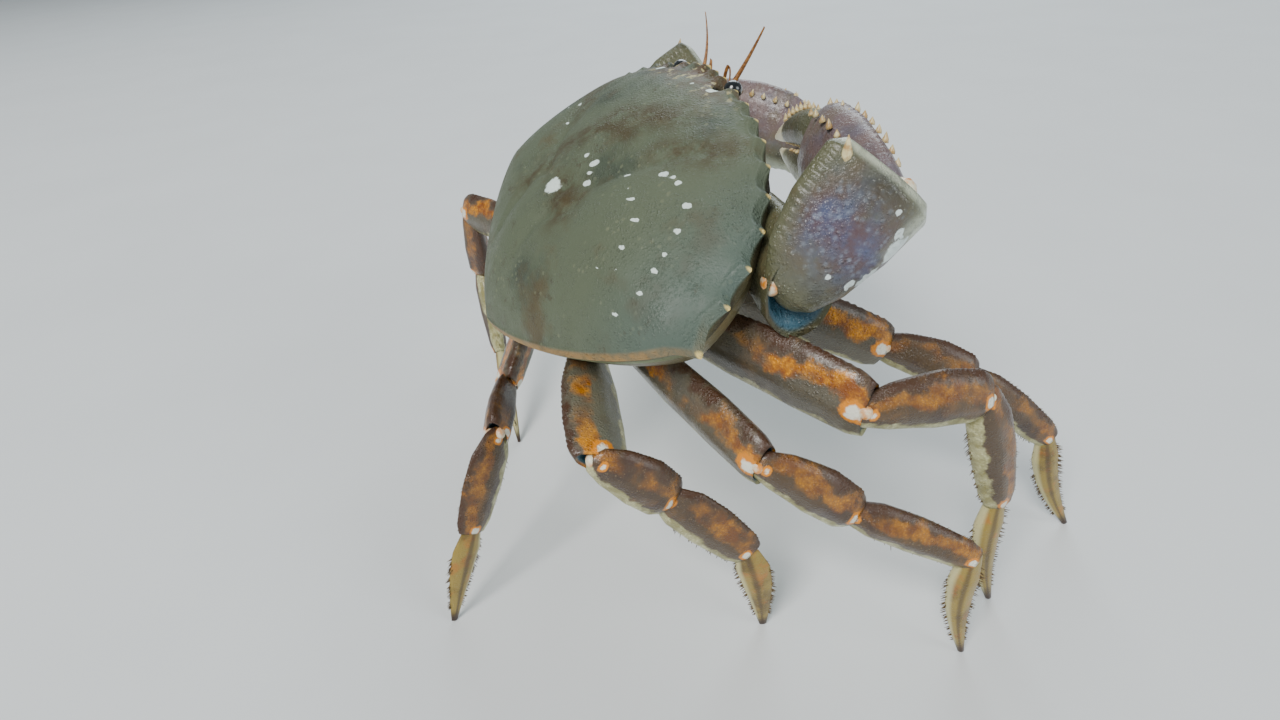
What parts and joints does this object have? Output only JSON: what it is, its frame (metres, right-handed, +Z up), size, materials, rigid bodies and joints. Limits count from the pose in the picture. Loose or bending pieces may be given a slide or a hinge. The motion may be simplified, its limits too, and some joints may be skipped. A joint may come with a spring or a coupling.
{
  "type": "crab",
  "caption": "Life-size model of a live Dungeness crab, standing nose up on its walking legs with its claws folded in front, for display and natural scenes",
  "frame": {"origin": "on the floor at the centre of the bottom of the bounding box", "axes": "+Y is the way the crab faces, +X is its right side, +Z is up"},
  "size_m": [0.2827, 0.2191, 0.1697],
  "materials": {
    "shell": "grey-olive granular crab shell with brown shading, pale spots and pale tooth tips",
    "belly": "pale cream underside with a faint olive tint",
    "eye": "dark glossy eye on a short stalk",
    "feeler": "thin brown feeler",
    "claw": "grey-olive claw arm with purple net pattern, white spots and pale finger tips",
    "leg": "brown to orange leg with pale edges and white joints",
    "leg_tip": "yellow-brown claw of the leg"
  },
  "bodies": {
    "root": {"abdomen": "belly", "carapace": "shell", "left_antenna": "feeler", "left_claw_arm_carpus": "claw", "left_claw_arm_dactyl": "claw", "left_claw_arm_merus": "claw", "left_claw_arm_palm": "claw", "left_eye": "eye", "left_leg_1_carpus": "leg", "left_leg_1_dactyl": "leg_tip", "left_leg_1_merus": "leg", "left_leg_1_propodus": "leg", "left_leg_2_carpus": "leg", "left_leg_2_dactyl": "leg_tip", "left_leg_2_merus": "leg", "left_leg_2_propodus": "leg", "left_leg_3_carpus": "leg", "left_leg_3_dactyl": "leg_tip", "left_leg_3_merus": "leg", "left_leg_3_propodus": "leg", "left_leg_4_carpus": "leg", "left_leg_4_dactyl": "leg_tip", "left_leg_4_merus": "leg", "left_leg_4_propodus": "leg", "left_mouth_plate": "belly", "right_antenna": "feeler", "right_claw_arm_carpus": "claw", "right_claw_arm_dactyl": "claw", "right_claw_arm_merus": "claw", "right_claw_arm_palm": "claw", "right_eye": "eye", "right_leg_1_carpus": "leg", "right_leg_1_dactyl": "leg_tip", "right_leg_1_merus": "leg", "right_leg_1_propodus": "leg", "right_leg_2_carpus": "leg", "right_leg_2_dactyl": "leg_tip", "right_leg_2_merus": "leg", "right_leg_2_propodus": "leg", "right_leg_3_carpus": "leg", "right_leg_3_dactyl": "leg_tip", "right_leg_3_merus": "leg", "right_leg_3_propodus": "leg", "right_leg_4_carpus": "leg", "right_leg_4_dactyl": "leg_tip", "right_leg_4_merus": "leg", "right_leg_4_propodus": "leg", "right_mouth_plate": "belly", "underbody": "belly"}
  },
  "joints": []
}
